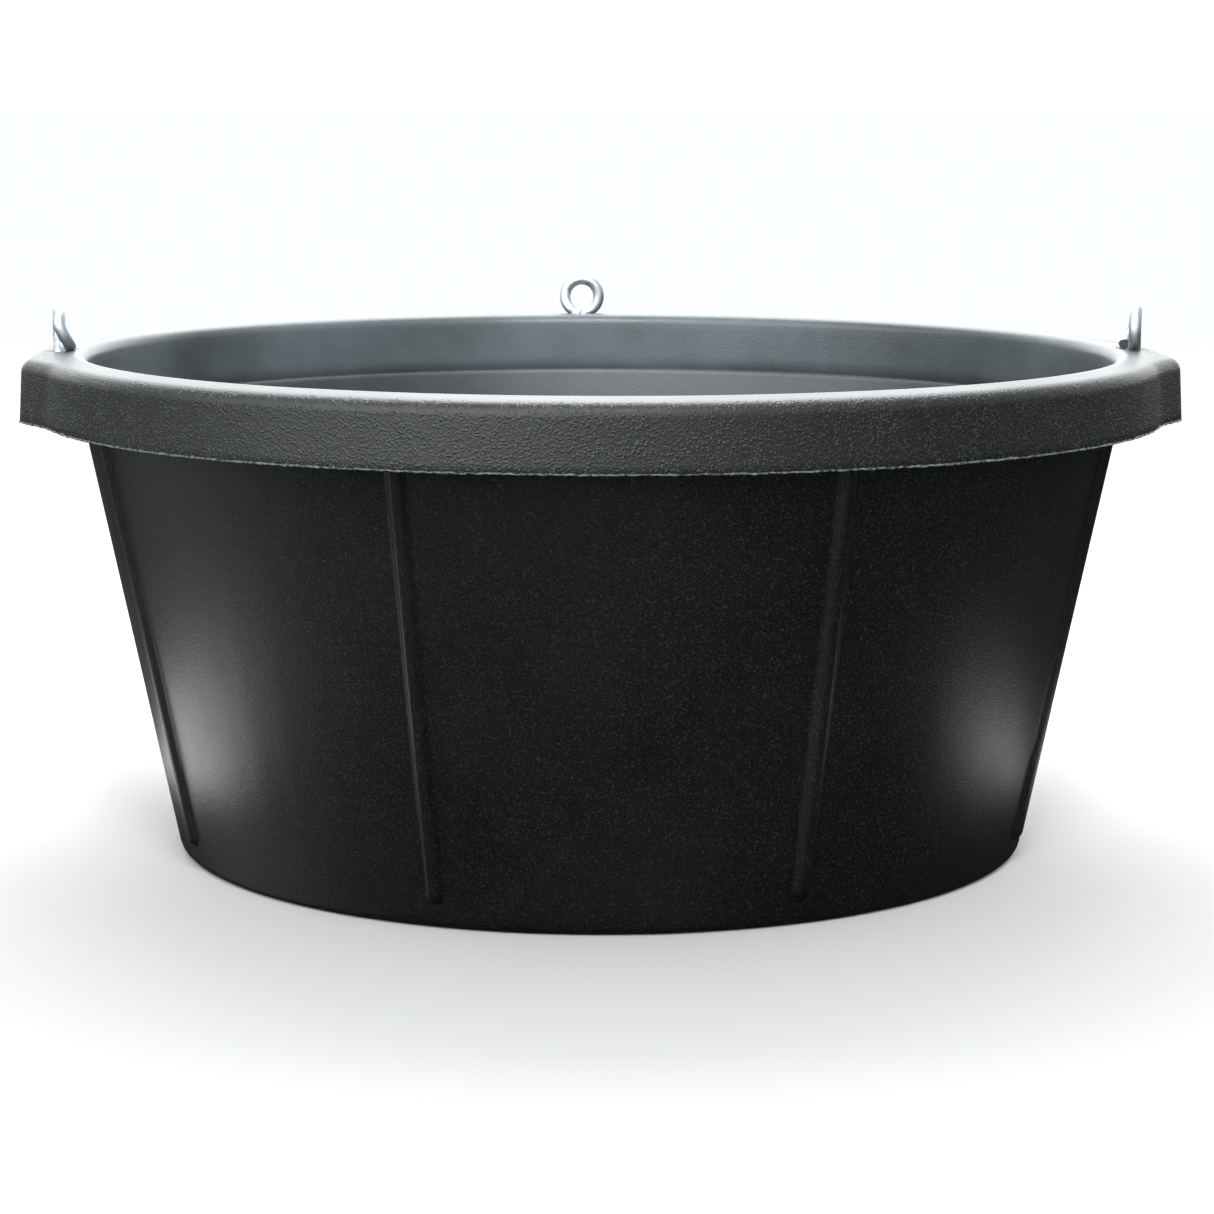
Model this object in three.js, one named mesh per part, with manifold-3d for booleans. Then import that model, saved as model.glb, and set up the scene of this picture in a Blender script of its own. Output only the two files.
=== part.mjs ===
// Hanging rubber feed pan: a moulded rubber tub with a turned-down rim and three steel eye bolts.
// Units are millimetres, +Z is up, and the origin is the centre of the underside.
// The back eye is on +Y, the other two are on -X and +X, and the front of the rim is plain.
import * as THREE from "three";
import { mergeVertices } from "three/addons/utils/BufferGeometryUtils.js";
import Module from "manifold-3d";

const wasm = await Module();
wasm.setup();

// ---- Driving dimensions ----
const AROUND = 108; // facets round the tub, so that the pads' corners fall on facet edges
const STEP = (2 * Math.PI) / AROUND;
const GAP = 0.3; // clearance between pieces that touch

const pan = {
  height: 239, // underside to the top of the rim
  baseRadius: 205.6, // outer wall where it meets the ground plane
  wallRise: 0.2058, // how far the wall leans out for each millimetre up
  wall: 5.2, // thickness of the rubber wall, measured level
  floor: 6.5,
  footFillet: 5,
  bowlFillet: 14,
};
const rim = {
  crest: 250, // radius of the top flat's inner edge
  outer: 268, // radius of the skirt's outer face just under its top edge
  flare: 1.2, // how much wider the skirt is at its lower edge
  drop: 31, // top of the rim to the skirt's lower edge
  flange: 6, // thickness of the top
  skirt: 4.4, // thickness of the skirt
  innerRound: 4,
  outerRound: 4.5,
  ledge: 31, // depth of the ledge inside the bowl
  ledgeFall: 1, // how far the ledge slopes down towards the bowl
  draft: 0.6, // how far the skirt's inside and the mouth lean, so that the rubber leaves its mould
};
const pad = {
  standOut: 5, // flat face beyond the round rim, at the middle of the pad
  cornerAngle: 3 * STEP, // from the pad's centre to its corner
  footAngle: 5 * STEP, // from the pad's centre to where it rejoins the round rim
  bossRadius: 10, // the thicker rubber round the bolt
  bossDepth: 12, // from the top of the rim to the underside of that boss
};
const rib = {
  count: 8,
  radius: 4,
  proud: 3.6, // how far it stands out from the wall
  bottom: 12, // lower tip above the ground
  top: 236, // upper tip, buried in the rim
};
const eye = {
  offset: 260.5, // distance of each bolt from the tub's axis
  wire: 3, // radius of the bent wire, which is also the threaded shank
  loop: 9.4, // radius of the loop's centreline
  leave: THREE.MathUtils.degToRad(-70), // where the loop leaves the neck
  end: THREE.MathUtils.degToRad(228), // where the wire is cut off
  lead: 4.5, // how far the cut end lies beside the neck, towards the bowl
  leadFrom: THREE.MathUtils.degToRad(120), // where the wire starts to lean that way
  sink: 3, // how far the tightened loop has drawn into the rubber
  shank: 22, // how far the shank reaches below the rim's top
};
const dish = { radius: 9, depth: 3.5 }; // hollow that the loop has pressed into the rim
const washer = { outer: 6.25, hole: 3.3, thick: 1.6 };
const nut = { acrossFlats: 10, hexHigh: 4, collarHigh: 2, hole: 3.3, collarWall: 0.7 };
const insert = { outer: 4, high: 1.6 };

// Where each eye bolt stands round the rim, and how far its ring is turned from facing the bowl.
const EYES = { left: Math.PI, right: 0, back: Math.PI / 2 };
const RING_TURNS = { left: THREE.MathUtils.degToRad(7), right: THREE.MathUtils.degToRad(-12), back: 0 };

// ---- Materials ----
const rubber = new THREE.MeshStandardMaterial({ color: 0x1f2122, roughness: 0.55, metalness: 0 });
const zincPlate = new THREE.MeshStandardMaterial({ color: 0xc4cbd0, roughness: 0.28, metalness: 1 });
const nylon = new THREE.MeshStandardMaterial({ color: 0xe6e4da, roughness: 0.45, metalness: 0 });

// ---- Helpers ----
// A closed three.js geometry as a solid that can be joined and cut.
function solidOf(geometry) {
  const bare = geometry.clone();
  bare.deleteAttribute("normal");
  bare.deleteAttribute("uv");
  const merged = mergeVertices(bare, 1e-4);
  const index = merged.index.array;
  const kept = [];
  for (let i = 0; i < index.length; i += 3) {
    const [a, b, c] = [index[i], index[i + 1], index[i + 2]];
    if (a !== b && b !== c && c !== a) kept.push(a, b, c);
  }
  return new wasm.Manifold(
    new wasm.Mesh({
      numProp: 3,
      vertProperties: merged.attributes.position.array,
      triVerts: new Uint32Array(kept),
    }),
  );
}

// A solid as a geometry that a mesh can show.
function geometryOf(solid) {
  const mesh = solid.getMesh();
  return new THREE.BufferGeometry()
    .setAttribute("position", new THREE.BufferAttribute(mesh.vertProperties, 3))
    .setIndex(new THREE.BufferAttribute(mesh.triVerts, 1));
}

function named(name, geometry, material) {
  const mesh = new THREE.Mesh(geometry, material);
  mesh.name = name;
  return mesh;
}

// Points of an arc in an outline, from one angle to another, both in radians.
function arc(x, y, radius, from, to, steps) {
  return Array.from({ length: steps + 1 }, (_, i) => {
    const a = from + ((to - from) * i) / steps;
    return new THREE.Vector2(x + radius * Math.cos(a), y + radius * Math.sin(a));
  });
}

// A solid of revolution about Z from (radius, height) points that run anticlockwise round the section.
function turned(outline, facets) {
  return new THREE.LatheGeometry(outline, facets).rotateX(Math.PI / 2);
}

const plugSection = (radius, low, high) => [
  new THREE.Vector2(0, low),
  new THREE.Vector2(radius, low),
  new THREE.Vector2(radius, high),
  new THREE.Vector2(0, high),
];

const ringSection = (inner, outer, low, high) => [
  new THREE.Vector2(inner, low),
  new THREE.Vector2(outer, low),
  new THREE.Vector2(outer, high),
  new THREE.Vector2(inner, high),
  new THREE.Vector2(inner, low),
];

// ---- Tub ----
const wallLean = Math.atan(pan.wallRise);
const outerWallAt = (z) => pan.baseRadius + pan.wallRise * z;
const skirtAt = (drop) => rim.outer + (rim.flare * (drop - rim.outerRound)) / (rim.drop - rim.outerRound);

// The tub's section, from the middle of the underside round to the middle of the bowl's floor.
// Each entry is a point and whether it moves out with the pads.
function tubSection() {
  const top = pan.height;
  const quarter = Math.PI / 2;
  const fixed = (points) => points.map((p) => ({ p, moves: false }));
  const moving = (points) => points.map((p) => ({ p, moves: true }));
  const at = (r, z) => new THREE.Vector2(r, z);

  const footCentre = outerWallAt(pan.footFillet) - pan.footFillet / Math.cos(wallLean);
  const underFlange = top - rim.flange;
  const skirtLow = top - rim.drop;
  const innerTop = rim.crest - rim.innerRound;
  const ledgeTop = top - rim.ledge;
  const ledgeLow = ledgeTop - rim.ledgeFall;
  const bowlWallAt = (z) => outerWallAt(z) - pan.wall;
  const bowlCorner = pan.floor + pan.bowlFillet;
  const bowlCentre = bowlWallAt(bowlCorner) - pan.bowlFillet / Math.cos(wallLean);

  return [
    ...fixed([at(0, 0)]),
    ...fixed(arc(footCentre, pan.footFillet, pan.footFillet, -quarter, -wallLean, 2)),
    ...fixed([at(outerWallAt(underFlange), underFlange)]),
    ...moving([at(skirtAt(rim.flange) - rim.skirt, underFlange)]),
    ...moving([at(skirtAt(rim.drop) - rim.skirt + rim.draft, skirtLow)]),
    ...moving([at(skirtAt(rim.drop), skirtLow)]),
    ...moving(arc(rim.outer - rim.outerRound, top - rim.outerRound, rim.outerRound, 0, quarter, 2)),
    ...fixed(arc(rim.crest, top - rim.innerRound, rim.innerRound, quarter, Math.PI, 2)),
    ...fixed([at(innerTop - rim.draft, ledgeTop)]),
    ...fixed([at(bowlWallAt(ledgeLow), ledgeLow)]),
    ...fixed(arc(bowlCentre, bowlCorner, pan.bowlFillet, -wallLean, -quarter, 3)),
    ...fixed([at(0, pan.floor)]),
  ];
}

// Radius of the rim's outline at an angle from a pad's centre, for a round rim of radius r.
// The pad is a flat face out to its corner, then a straight flank back to the round rim.
function padOutline(r, away) {
  if (away >= pad.footAngle - 1e-6) return r;
  const face = r + pad.standOut;
  if (away <= pad.cornerAngle + 1e-6) return face / Math.cos(away);
  const corner = new THREE.Vector2(face, face * Math.tan(pad.cornerAngle));
  const foot = new THREE.Vector2(r * Math.cos(pad.footAngle), r * Math.sin(pad.footAngle));
  const along = foot.clone().sub(corner);
  const ray = new THREE.Vector2(Math.cos(away), Math.sin(away));
  return corner.cross(along) / ray.cross(along);
}

function tubShell() {
  const section = tubSection();
  const geometry = turned(section.map((s) => s.p), AROUND);
  const position = geometry.attributes.position;
  for (let i = 0; i < position.count; i++) {
    if (!section[i % section.length].moves) continue;
    const [x, y] = [position.getX(i), position.getY(i)];
    const radius = Math.hypot(x, y);
    const azimuth = Math.atan2(y, x);
    const offsets = Object.values(EYES).map((e) => Math.acos(Math.cos(azimuth - e)));
    const scale = padOutline(radius, Math.min(...offsets)) / radius;
    position.setXY(i, x * scale, y * scale);
  }
  return solidOf(geometry);
}

// One half-round rib on the outer wall: a capsule sunk into the rubber along the wall's slope.
function wallRib(azimuth) {
  const middle = (rib.bottom + rib.top) / 2;
  const length = (rib.top - rib.bottom - 2 * rib.radius) / Math.cos(wallLean);
  const inset = (rib.radius - rib.proud) / Math.cos(wallLean);
  const geometry = new THREE.CapsuleGeometry(rib.radius, length, 2, 10)
    .rotateX(Math.PI / 2)
    .rotateY(wallLean)
    .translate(outerWallAt(middle) - inset, 0, middle)
    .rotateZ(azimuth);
  return solidOf(geometry);
}

// The thick round boss that one bolt passes through, hanging below the top of the rim.
function boss(azimuth) {
  const low = pan.height - pad.bossDepth;
  const section = plugSection(pad.bossRadius, low, pan.height - rim.flange + 1);
  return solidOf(turned(section, 20).translate(eye.offset, 0, 0).rotateZ(azimuth));
}

// The hole for one bolt, with the dish that its loop has pressed into the top of the rim.
function boltHole(azimuth) {
  const section = plugSection(eye.wire + GAP, pan.height - pad.bossDepth - 1, pan.height);
  const hole = turned(section, 16).translate(eye.offset, 0, 0).rotateZ(azimuth);
  const radius = (dish.radius ** 2 + dish.depth ** 2) / (2 * dish.depth);
  const ball = new THREE.SphereGeometry(radius, 24, 24)
    .rotateX(Math.PI / 2)
    .translate(eye.offset, 0, pan.height - dish.depth + radius)
    .rotateZ(azimuth);
  return solidOf(hole).add(solidOf(ball));
}

function panBody() {
  let body = tubShell();
  for (let i = 0; i < rib.count; i++) {
    const azimuth = ((i + 0.5) * 2 * Math.PI) / rib.count;
    body = body.add(wallRib(azimuth));
  }
  for (const azimuth of Object.values(EYES)) {
    body = body.add(boss(azimuth)).subtract(boltHole(azimuth));
  }
  return named("pan_body", geometryOf(body), rubber);
}

// ---- Eye bolt ----
// Centreline of the bent wire: up the shank, round the neck, round the loop to the cut end.
// Z = 0 is the top of the rim, and the cut end leans towards -Y.
class EyeWire extends THREE.Curve {
  constructor() {
    super();
    this.centre = eye.loop + eye.wire - eye.sink;
    this.bend = -eye.leave; // how far the neck turns, from straight up to the start of the loop
    this.neck = (eye.loop * Math.cos(eye.leave)) / (1 - Math.cos(this.bend)); // its radius
    this.neckStart = this.centre + eye.loop * Math.sin(eye.leave) - this.neck * Math.sin(this.bend);
    this.straight = this.neckStart + eye.shank;
    this.length = this.straight + this.neck * this.bend + eye.loop * (eye.end - eye.leave);
  }

  getPoint(t, target = new THREE.Vector3()) {
    const travelled = t * this.length;
    if (travelled <= this.straight) return target.set(0, 0, travelled - eye.shank);
    const turn = (travelled - this.straight) / this.neck;
    if (turn <= this.bend) {
      const x = this.neck * (1 - Math.cos(turn));
      return target.set(x, 0, this.neckStart + this.neck * Math.sin(turn));
    }
    const angle = eye.leave + ((turn - this.bend) * this.neck) / eye.loop;
    const lean = eye.lead * THREE.MathUtils.smoothstep(angle, eye.leadFrom, eye.end);
    return target.set(eye.loop * Math.cos(angle), -lean, this.centre + eye.loop * Math.sin(angle));
  }
}

function eyeBolt(side) {
  const section = new THREE.Shape().absarc(0, 0, eye.wire, 0, 2 * Math.PI);
  const sweep = { extrudePath: new EyeWire(), steps: 32, curveSegments: 5 };
  return named(`eye_bolt_${side}`, geometryOf(solidOf(new THREE.ExtrudeGeometry(section, sweep))), zincPlate);
}

// ---- Washer, lock nut and its nylon ring, below the boss ----
const washerTop = -pad.bossDepth - GAP;
const nutTop = washerTop - washer.thick - GAP;
const hexBottom = nutTop - nut.hexHigh;
const nutBottom = hexBottom - nut.collarHigh;

function flatWasher(side) {
  const section = ringSection(washer.hole, washer.outer, washerTop - washer.thick, washerTop);
  return named(`washer_${side}`, turned(section, 20), zincPlate);
}

// A hexagon with a round collar below it, which is hollow for the nylon ring.
function lockNut(side) {
  const corner = nut.acrossFlats / 2 / Math.cos(Math.PI / 6);
  const hexagon = new THREE.Shape(arc(0, 0, corner, 0, (5 * Math.PI) / 3, 5));
  const hex = new THREE.ExtrudeGeometry(hexagon, { depth: nut.hexHigh, bevelEnabled: false });
  hex.translate(0, 0, hexBottom);
  const pocket = insert.outer + GAP;
  const collar = plugSection(pocket + nut.collarWall, nutBottom, hexBottom + 1);
  const hollow = plugSection(pocket, nutBottom - 1, hexBottom);
  const hole = plugSection(nut.hole, nutBottom - 1, nutTop + 1);
  const solid = solidOf(hex)
    .add(solidOf(turned(collar, 16)))
    .subtract(solidOf(turned(hollow, 16)))
    .subtract(solidOf(turned(hole, 16)));
  return named(`lock_nut_${side}`, geometryOf(solid), zincPlate);
}

function nylonRing(side) {
  const section = ringSection(nut.hole, insert.outer, hexBottom - GAP - insert.high, hexBottom - GAP);
  return named(`nylon_ring_${side}`, turned(section, 16), nylon);
}

// ---- Assembly ----
const group = new THREE.Group();
group.add(panBody());
for (const [side, azimuth] of Object.entries(EYES)) {
  const station = new THREE.Group();
  station.position.set(eye.offset * Math.cos(azimuth), eye.offset * Math.sin(azimuth), pan.height);
  station.rotation.z = azimuth - Math.PI / 2 + RING_TURNS[side];
  station.add(eyeBolt(side), flatWasher(side), lockNut(side), nylonRing(side));
  group.add(station);
}

export default group;
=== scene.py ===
# %% [markdown]
# # A rubber hanging feed pan
# The pan is one black rubber moulding with three steel eye bolts through its rim. This lesson
# builds it in Blender around a packed engineering model, which fixes where everything is and
# what moves. Sizes are written in millimetres and turned to metres where the mesh is made,
# because Blender's unit is the metre.

# %% Frame
import math

import bpy
from mathutils import Matrix, Vector


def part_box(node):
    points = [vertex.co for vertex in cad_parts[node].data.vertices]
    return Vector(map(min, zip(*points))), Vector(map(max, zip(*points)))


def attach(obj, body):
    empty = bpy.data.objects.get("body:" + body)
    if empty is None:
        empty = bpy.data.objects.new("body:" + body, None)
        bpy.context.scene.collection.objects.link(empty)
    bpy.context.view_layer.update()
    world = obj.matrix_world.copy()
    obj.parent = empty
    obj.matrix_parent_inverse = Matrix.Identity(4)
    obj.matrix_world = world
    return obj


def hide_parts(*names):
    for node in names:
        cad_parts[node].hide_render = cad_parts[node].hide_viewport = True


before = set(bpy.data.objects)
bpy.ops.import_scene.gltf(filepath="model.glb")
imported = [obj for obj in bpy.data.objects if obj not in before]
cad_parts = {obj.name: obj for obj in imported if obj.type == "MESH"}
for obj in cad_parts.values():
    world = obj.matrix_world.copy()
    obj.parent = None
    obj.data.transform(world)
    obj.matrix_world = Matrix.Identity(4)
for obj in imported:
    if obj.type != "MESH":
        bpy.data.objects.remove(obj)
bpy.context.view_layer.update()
MM = 0.001

# %% [markdown]
# ## Driving sizes
# These are the sizes of the real moulding and its hardware. Anything that the engineering
# model already holds, such as the height of the rim, is read from it, so the two can't drift
# apart.

# %% Sizes
RIM_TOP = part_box("pan_body")[1].z / MM
BASE_RADIUS, WALL_RISE, WALL, FLOOR = 205.6, 0.2058, 5.2, 6.5
FOOT_FILLET, BOWL_FILLET = 5.0, 14.0
CREST, RIM_OUTER, RIM_FLARE, RIM_DROP, RIM_DROOP = 251.5, 268.0, 1.2, 31.0, 0.9
FLANGE, SKIRT, INNER_ROUND, OUTER_ROUND, LEDGE = 6.0, 4.4, 5.5, 6.5, 31.0
PAD_OUT, PAD_CORNER, PAD_FOOT = 5.0, math.radians(10), math.radians(50 / 3)
RIB_RADIUS, RIB_PROUD, RIB_BOTTOM = 4.6, 3.6, 12.0
EYE_OFFSET, WIRE, LOOP, SINK, SHANK = 260.5, 3.0, 9.4, 3.0, 22.0
DISH_RADIUS, DISH_DEPTH = 9.5, 3.6
BOSS_RADIUS, BOSS_DEPTH = 10.0, 12.0
EYES = {"left": math.pi, "right": 0.0, "back": math.pi / 2}
RING_TURNS = {"left": math.radians(7), "right": math.radians(-12), "back": 0.0}
print("top of the rim:", round(RIM_TOP, 2), "mm")

# %% [markdown]
# ## Camera
# A long lens stands a pan's length and a half in front of the plain side of the rim, a little
# above it, and looks down by nine degrees, so that the far wall shows above the near rim.

# %% Camera
CAMERA_BACK, CAMERA_RISE, CAMERA_SLIDE = 1.578, 0.122, 0.0032
CAMERA_TURN, CAMERA_TILT, CAMERA_ROLL = math.radians(-2.5), 0.1564, 0.0023
LENS, SENSOR = 96.6, 36.0


def make_camera():
    data = bpy.data.cameras.new("camera")
    data.lens, data.sensor_width = LENS, SENSOR
    camera = bpy.data.objects.new("camera", data)
    bpy.context.scene.collection.objects.link(camera)
    place = Matrix.Translation((CAMERA_SLIDE, -CAMERA_BACK, RIM_TOP * MM + CAMERA_RISE))
    tilt = Matrix.Rotation(math.pi / 2 - CAMERA_TILT, 4, "X")
    roll = Matrix.Rotation(CAMERA_ROLL, 4, "Z")
    camera.matrix_world = Matrix.Rotation(CAMERA_TURN, 4, "Z") @ place @ tilt @ roll
    bpy.context.scene.camera = camera
    return camera


print("camera at", [round(v, 3) for v in make_camera().location])

# %% [markdown]
# ## Helpers for node trees
# Shape trees and material trees are both built from code. One function adds a node, sets it up
# and links it. A link may be given as a socket, or as a node, which means that node's first
# output in use.

# %% Node helpers
def add(tree, kind, inputs=None, **settings):
    node = tree.nodes.new(kind)
    for name, value in settings.items():
        setattr(node, name, value)
    for key, value in (inputs or {}).items():
        socket = node.inputs[key]
        if isinstance(value, bpy.types.Node):
            value = next(output for output in value.outputs if output.enabled)
        if isinstance(value, bpy.types.NodeSocket):
            tree.links.new(value, socket)
        else:
            socket.default_value = value
    return node


def new_tree(name, inputs, outputs):
    tree = bpy.data.node_groups.new(name, "GeometryNodeTree")
    for way, sockets in (("INPUT", inputs), ("OUTPUT", outputs)):
        for label, kind in sockets.items():
            tree.interface.new_socket(label, in_out=way, socket_type=f"NodeSocket{kind}")
    return tree, tree.nodes.new("NodeGroupInput").outputs


def finish_shape(tree, shape, finish, crease):
    """Ends a shape tree: smooth shading with sharp creases, real geometry and its material."""
    smooth = {"Geometry": shape, "Shade Smooth": True}
    smooth = add(tree, "GeometryNodeSetShadeSmooth", smooth, domain="FACE")
    bend = add(tree, "GeometryNodeInputMeshEdgeAngle").outputs["Unsigned Angle"]
    sharp = add(tree, "ShaderNodeMath", {0: bend, 1: crease}, operation="GREATER_THAN")
    edges = {"Geometry": smooth, "Selection": sharp, "Shade Smooth": False}
    creased = add(tree, "GeometryNodeSetShadeSmooth", edges, domain="EDGE")
    real = add(tree, "GeometryNodeRealizeInstances", {"Geometry": creased})
    finished = add(tree, "GeometryNodeSetMaterial", {"Geometry": real, "Material": finish})
    add(tree, "NodeGroupOutput", {"Geometry": finished})


def make_plain(source, tree, values, name):
    """Runs a shape tree on an object and keeps only the finished mesh, in a new object."""
    bpy.context.scene.collection.objects.link(source)
    modifier = source.modifiers.new("Shape", "NODES")
    modifier.node_group = tree
    for item in tree.interface.items_tree:
        if item.in_out == "INPUT" and item.name in values:
            modifier[item.identifier] = values[item.name]
    evaluated = source.evaluated_get(bpy.context.evaluated_depsgraph_get())
    mesh = bpy.data.meshes.new_from_object(evaluated)
    bpy.data.objects.remove(source)
    piece = bpy.data.objects.new(name, mesh)
    bpy.context.scene.collection.objects.link(piece)
    print(name, "has", sum(len(p.vertices) - 2 for p in mesh.polygons), "triangles")
    return piece


# %% [markdown]
# ## Colours
# Colours are written as sRGB hex values, as a paint chart gives them, and Blender's shaders
# work in linear light, so one function turns the first into the second.

# %% Colour helper
def colour(code):
    channels = [int(code[i : i + 2], 16) / 255 for i in (1, 3, 5)]
    linear = [c / 12.92 if c <= 0.04045 else ((c + 0.055) / 1.055) ** 2.4 for c in channels]
    return (*linear, 1.0)


def new_material(name, **settings):
    material = bpy.data.materials.new(name)
    material.use_nodes = True
    tree = material.node_tree
    shader = tree.nodes["Principled BSDF"]
    for socket, value in settings.items():
        shader.inputs[socket.replace("_", " ")].default_value = value
    return material, tree, shader


# %% [markdown]
# ## Moulded rubber
# The tub is pressed from recycled rubber crumb in a steel mould. Where the compound flowed
# well, on the wall, it took the mould's smooth satin face. Round the rim it cooled early, so
# the crumb shows as small pebbles, whose tops are painted paler as a painted glint of the
# light. The black has a faint green cast and pale dust on it, and the bowl is painted grey,
# partly a chalky bloom and partly painted sheen. One material covers the whole moulding, and
# finds the rim and the bowl from a point's radius and height.

# %% Moulded rubber
RUBBER_IOR = 1.52
# the bloom grey is partly a chalky bloom and partly painted sheen on the inner wall
# the dust grey also paints the glint on the pebbles' tops
BLACK_LOW, BLACK_HIGH, DUST_AND_GLINT_GREY, BLOOM_AND_SHEEN_GREY = "#060A08", "#0F1311", "#3A413E", "#656F73"
CRUMB_START, CRUMB_FULL = 258.0, 266.0  # the crumb fades in between these two radii
CRUMB_PROUD, GRAIN_DEPTH = 0.2, 0.2

# pattern scales, in cells for each metre
CRUMB_SCALE = 680.0  # pebbles of crumb 1.5 mm apart
SHAKE_SCALE, SHAKE = 300.0, 1.4  # pushes each pebble off its place by up to 1.4 mm
THICK_SCALE = 120.0  # crumb lies thick and thin over 8 mm
GRAIN_SCALE = 1100.0  # the mould's grain, 0.9 mm wide, drawn coarse enough to show
DUST_SCALE = 1000.0  # specks of dust 1 mm apart, drawn coarse enough to show
DRIFT_SCALE = 9.0  # colour and gloss drift over 110 mm


def moulded_rubber():
    material, tree, shader = new_material("moulded_rubber", IOR=RUBBER_IOR, Metallic=0.0)
    place = add(tree, "ShaderNodeTexCoord").outputs["Object"]
    split = add(tree, "ShaderNodeSeparateXYZ", {"Vector": place})
    flat = add(tree, "ShaderNodeCombineXYZ", {"X": split.outputs["X"], "Y": split.outputs["Y"]})
    reach = add(tree, "ShaderNodeVectorMath", {0: flat}, operation="LENGTH").outputs["Value"]

    # crumbly: 1 on the outside of the rim, 0 on the wall and in the bowl
    band = {"Value": reach, "From Min": CRUMB_START * MM, "From Max": CRUMB_FULL * MM}
    crumbly = add(tree, "ShaderNodeMapRange", band, interpolation_type="SMOOTHSTEP")

    # bowl_side: 1 inside the bowl, 0 outside, from how far a point is inside the outer wall
    slope = {0: split.outputs["Z"], 1: WALL_RISE, 2: BASE_RADIUS * MM}
    slope = add(tree, "ShaderNodeMath", slope, operation="MULTIPLY_ADD")
    inset = add(tree, "ShaderNodeMath", {0: slope, 1: reach}, operation="SUBTRACT")
    inside = {"Value": inset, "From Min": 2 * MM, "From Max": 4 * MM}
    bowl_side = add(tree, "ShaderNodeMapRange", inside)

    # patterns
    shaken = {"Vector": place, "Scale": SHAKE_SCALE, "Detail": 1.0}
    shaken = add(tree, "ShaderNodeTexNoise", shaken).outputs["Color"]
    shaken = {0: shaken, 1: (SHAKE * MM,) * 3, 2: place}
    shaken = add(tree, "ShaderNodeVectorMath", shaken, operation="MULTIPLY_ADD")
    crumb = add(tree, "ShaderNodeTexVoronoi", {"Vector": shaken, "Scale": CRUMB_SCALE})
    thick = {"Vector": place, "Scale": THICK_SCALE, "Detail": 3.0}
    thick = add(tree, "ShaderNodeTexNoise", thick)
    grain = {"Vector": place, "Scale": GRAIN_SCALE, "Detail": 2.0}
    grain = add(tree, "ShaderNodeTexNoise", grain)
    drift = {"Vector": place, "Scale": DRIFT_SCALE, "Detail": 5.0, "Roughness": 0.6}
    drift = add(tree, "ShaderNodeTexNoise", drift)
    dust = {"Vector": place, "Scale": DUST_SCALE, "Detail": 1.0}
    dust = add(tree, "ShaderNodeTexNoise", dust)

    # pebbles: 1 on top of a pebble, fewer where the crumb lies thin, none off the rim
    pebbles = {"Value": crumb.outputs["Distance"], "From Min": 0.12, "From Max": 0.5}
    pebbles = {**pebbles, "To Min": 1.0, "To Max": 0.0}
    pebbles = add(tree, "ShaderNodeMapRange", pebbles, interpolation_type="SMOOTHSTEP")
    share = {"Value": thick, "From Min": 0.38, "From Max": 0.62, "To Min": 0.35}
    share = add(tree, "ShaderNodeMapRange", share)
    pebbles = add(tree, "ShaderNodeMath", {0: pebbles, 1: share}, operation="MULTIPLY")
    pebbles = add(tree, "ShaderNodeMath", {0: pebbles, 1: crumbly}, operation="MULTIPLY")

    # colour: two blacks that drift, with thinly scattered dust
    black = {0: drift, 6: colour(BLACK_LOW), 7: colour(BLACK_HIGH)}
    black = add(tree, "ShaderNodeMix", black, data_type="RGBA").outputs[2]
    specks = {"Value": dust, "From Min": 0.57, "From Max": 0.72, "To Max": 0.4}
    specks = add(tree, "ShaderNodeMapRange", specks)
    dusty = {0: specks, 6: black, 7: colour(DUST_AND_GLINT_GREY)}
    dusty = add(tree, "ShaderNodeMix", dusty, data_type="RGBA").outputs[2]

    # colour: a grey in the bowl, partly a bloom of chalky feed and partly painted sheen, painted
    # stronger above the ledge as painted light where the upright upper wall gets less light
    bloom_and_sheen = {"Value": drift, "From Min": 0.3, "From Max": 0.7, "To Min": 0.4, "To Max": 1.0}
    bloom_and_sheen = add(tree, "ShaderNodeMapRange", bloom_and_sheen)
    bloom_and_sheen = add(tree, "ShaderNodeMath", {0: bloom_and_sheen, 1: bowl_side}, operation="MULTIPLY")
    ledge = RIM_TOP - LEDGE
    # painted light: above the ledge the grey is painted stronger, to make up for the shade there
    above = {"Value": split.outputs["Z"], "From Min": (ledge - 2) * MM, "From Max": ledge * MM}
    above = add(tree, "ShaderNodeMapRange", {**above, "To Min": 0.36, "To Max": 0.88})
    bloom_and_sheen = add(tree, "ShaderNodeMath", {0: bloom_and_sheen, 1: above}, operation="MULTIPLY")
    bloom_and_sheen_colour = {0: bloom_and_sheen, 6: dusty, 7: colour(BLOOM_AND_SHEEN_GREY)}
    bloom_and_sheen_colour = add(tree, "ShaderNodeMix", bloom_and_sheen_colour, data_type="RGBA").outputs[2]

    # colour: the tops of the pebbles are painted paler, a painted glint of the light on them
    pebble_glint = add(tree, "ShaderNodeMath", {0: pebbles, 1: 0.6}, operation="MULTIPLY")
    glinted_pebbles = {0: pebble_glint, 6: bloom_and_sheen_colour, 7: colour(DUST_AND_GLINT_GREY)}
    glinted_pebbles = add(tree, "ShaderNodeMix", glinted_pebbles, data_type="RGBA").outputs[2]
    tree.links.new(glinted_pebbles, shader.inputs["Base Color"])

    # gloss: satin on the wall, a little duller on the crumb
    gloss = {"Value": drift, "From Min": 0.3, "From Max": 0.7, "To Min": 0.33, "To Max": 0.42}
    gloss = add(tree, "ShaderNodeMapRange", gloss)
    dull = {0: crumbly, 1: 0.04, 2: gloss}
    dull = add(tree, "ShaderNodeMath", dull, operation="MULTIPLY_ADD")
    tree.links.new(dull.outputs[0], shader.inputs["Roughness"])

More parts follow.
